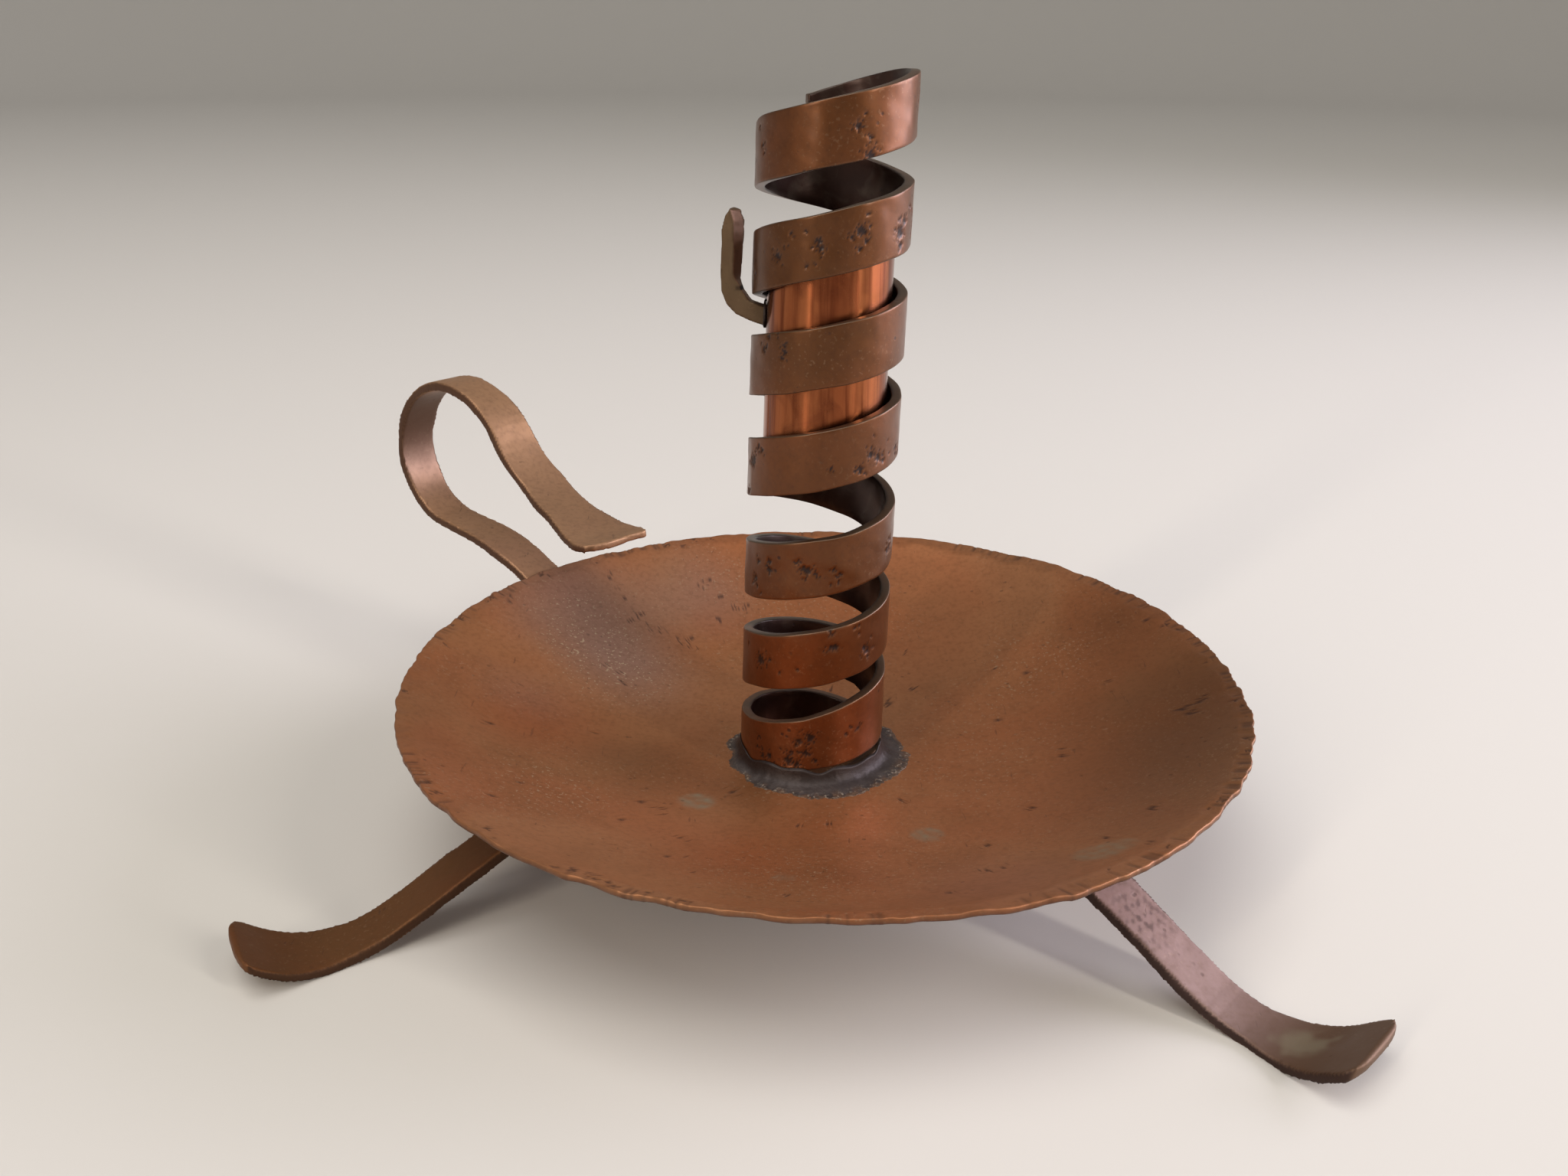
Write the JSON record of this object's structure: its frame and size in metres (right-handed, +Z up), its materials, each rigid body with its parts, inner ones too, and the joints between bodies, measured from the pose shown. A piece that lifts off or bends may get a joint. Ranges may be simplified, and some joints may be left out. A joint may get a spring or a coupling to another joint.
{
  "type": "pigtail candlestick",
  "caption": "Chamber stick with an open spiral of flat strip on a shallow dish with bent feet and a loop handle. A thumb lever screws the candle cup up and down inside the spiral.",
  "frame": {"origin": "middle of the footprint, on the surface that the three feet stand on", "axes": "+Z up, +X to the right and +Y to the back as seen from the front; the handle is at the back left"},
  "size_m": [0.2075, 0.2128, 0.1565],
  "materials": {
    "patinated_copper": "old copper sheet and strip with a warm brown patina, pitted, satin",
    "polished_copper": "copper tube worn bright by the turns of the spiral",
    "forged_copper": "forged bar with an olive brown patina",
    "solder": "dull grey lead-tin solder with a crumbly edge"
  },
  "bodies": {
    "stand": {"dish": "patinated_copper", "spiral_strip": "patinated_copper", "spiral_foot_solder": "solder", "leg_front_left": "patinated_copper", "leg_front_right": "patinated_copper", "leg_back": "patinated_copper", "leg_solder_front_left": "solder", "leg_solder_front_right": "solder", "leg_solder_back": "solder", "handle": "patinated_copper", "handle_solder": "solder"},
    "cup_carriage": {"cup_floor": "polished_copper"},
    "cup": {"cup_tube": "polished_copper", "thumb_lever": "forged_copper", "lever_solder": "solder"}
  },
  "joints": [
    {"name": "cup_lift", "type": "slide", "parent": "stand", "child": "cup_carriage", "axis": [0.0262, 0.0436, 0.9987], "range_m": [-0.0612, 0.0306]},
    {"name": "cup_turn", "type": "hinge", "parent": "cup_carriage", "child": "cup", "pos_m": [0.00748, -0.01375, 0.10432], "axis": [0.0262, 0.0436, 0.9987], "range_deg": [-1080, 540]}
  ],
  "couplings": [
    {"joint": "cup_lift", "follows": "cup_turn", "m_per_rad": 0.0032468}
  ]
}
